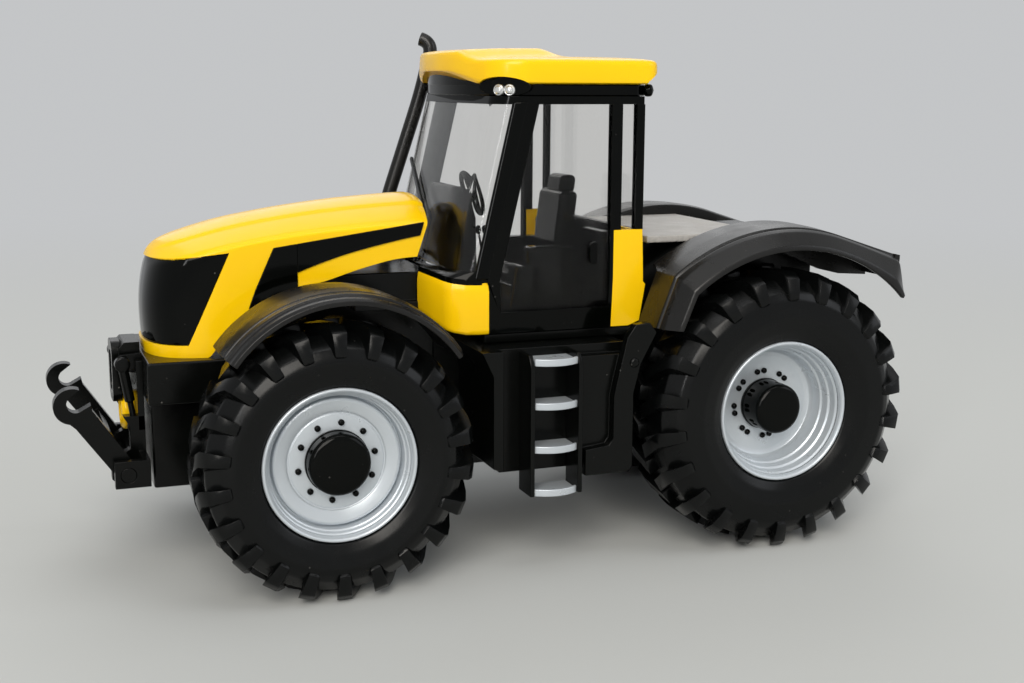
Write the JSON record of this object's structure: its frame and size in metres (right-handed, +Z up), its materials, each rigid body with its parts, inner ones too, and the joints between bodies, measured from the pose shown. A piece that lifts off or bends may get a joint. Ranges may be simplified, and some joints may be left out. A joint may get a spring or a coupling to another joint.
{
  "type": "scale-model farm tractor",
  "caption": "Toy model of a fast farm tractor: yellow bonnet and roof, glazed cab between large lugged wheels, ladder, rear deck, front and rear lift links.",
  "frame": {"origin": "on the ground, midway between the front hooks' tips and the rear hooks' tips, on the centre line", "axes": "+X forward, +Y to the model's left, +Z up"},
  "size_m": [0.192, 0.0804, 0.1094],
  "materials": {
    "yellow_paint": "gloss",
    "yellow_plastic": "gloss",
    "gloss_black": "gloss",
    "black_plastic": "satin",
    "grey_plastic": "satin",
    "deck_grey": "matte",
    "silver_plastic": "satin",
    "steel_pin": "bright",
    "clear_plastic": "clear",
    "lamp_clear": "clear",
    "tyre_rubber": "satin"
  },
  "bodies": {
    "tractor": {"chassis": "black_plastic", "engine_block": "black_plastic", "rear_body": "black_plastic", "front_frame": "black_plastic", "front_axle": "steel_pin", "rear_axle": "steel_pin", "bonnet": "yellow_paint", "grille_panel": "gloss_black", "bonnet_side_panels": "gloss_black", "front_hitch_frame": "black_plastic", "front_pto_guard": "yellow_plastic", "front_link_pin": "black_plastic", "cab_tub": "black_plastic", "cab_shell": "yellow_plastic", "cab_frame": "gloss_black", "windscreen": "clear_plastic", "door_windows": "clear_plastic", "quarter_windows": "clear_plastic", "rear_window": "clear_plastic", "roof": "yellow_plastic", "roof_base": "gloss_black", "roof_lamps": "lamp_clear", "seat": "black_plastic", "steering": "black_plastic", "dashboard": "black_plastic", "exhaust_stack": "black_plastic", "wiper": "black_plastic", "front_mudguards": "grey_plastic", "rear_mudguards": "grey_plastic", "rear_deck": "deck_grey", "left_tank": "black_plastic", "right_tank": "black_plastic", "ladder_frame": "black_plastic", "ladder_steps": "silver_plastic", "drawbar_hitch": "black_plastic", "rear_link_pin": "black_plastic"},
    "front_left_wheel": {"front_left_tyre": "tyre_rubber", "front_left_rim": "silver_plastic", "front_left_cap": "gloss_black"},
    "front_right_wheel": {"front_right_tyre": "tyre_rubber", "front_right_rim": "silver_plastic", "front_right_cap": "gloss_black"},
    "rear_left_wheel": {"rear_left_tyre": "tyre_rubber", "rear_left_rim": "silver_plastic", "rear_left_cap": "gloss_black"},
    "rear_right_wheel": {"rear_right_tyre": "tyre_rubber", "rear_right_rim": "silver_plastic", "rear_right_cap": "gloss_black"},
    "front_links": {"front_lower_links": "black_plastic"},
    "rear_links": {"rear_lower_links": "black_plastic", "rear_link_bar": "black_plastic"}
  },
  "joints": [
    {"name": "front_left_spin", "type": "hinge", "parent": "tractor", "child": "front_left_wheel", "pos_m": [0.04599, 0.03, 0.0272], "axis": [0, 1, 0], "continuous": true},
    {"name": "front_right_spin", "type": "hinge", "parent": "tractor", "child": "front_right_wheel", "pos_m": [0.04599, -0.03, 0.0272], "axis": [0, 1, 0], "continuous": true},
    {"name": "rear_left_spin", "type": "hinge", "parent": "tractor", "child": "rear_left_wheel", "pos_m": [-0.05001, 0.03, 0.0301], "axis": [0, 1, 0], "continuous": true},
    {"name": "rear_right_spin", "type": "hinge", "parent": "tractor", "child": "rear_right_wheel", "pos_m": [-0.05001, -0.03, 0.0301], "axis": [0, 1, 0], "continuous": true},
    {"name": "front_links_lift", "type": "hinge", "parent": "tractor", "child": "front_links", "pos_m": [0.08279, 0, 0.023], "axis": [0, 1, 0], "range_deg": [-15, 60]},
    {"name": "rear_links_lift", "type": "hinge", "parent": "tractor", "child": "rear_links", "pos_m": [-0.06601, 0, 0.0205], "axis": [0, 1, 0], "range_deg": [-25, 20]}
  ]
}
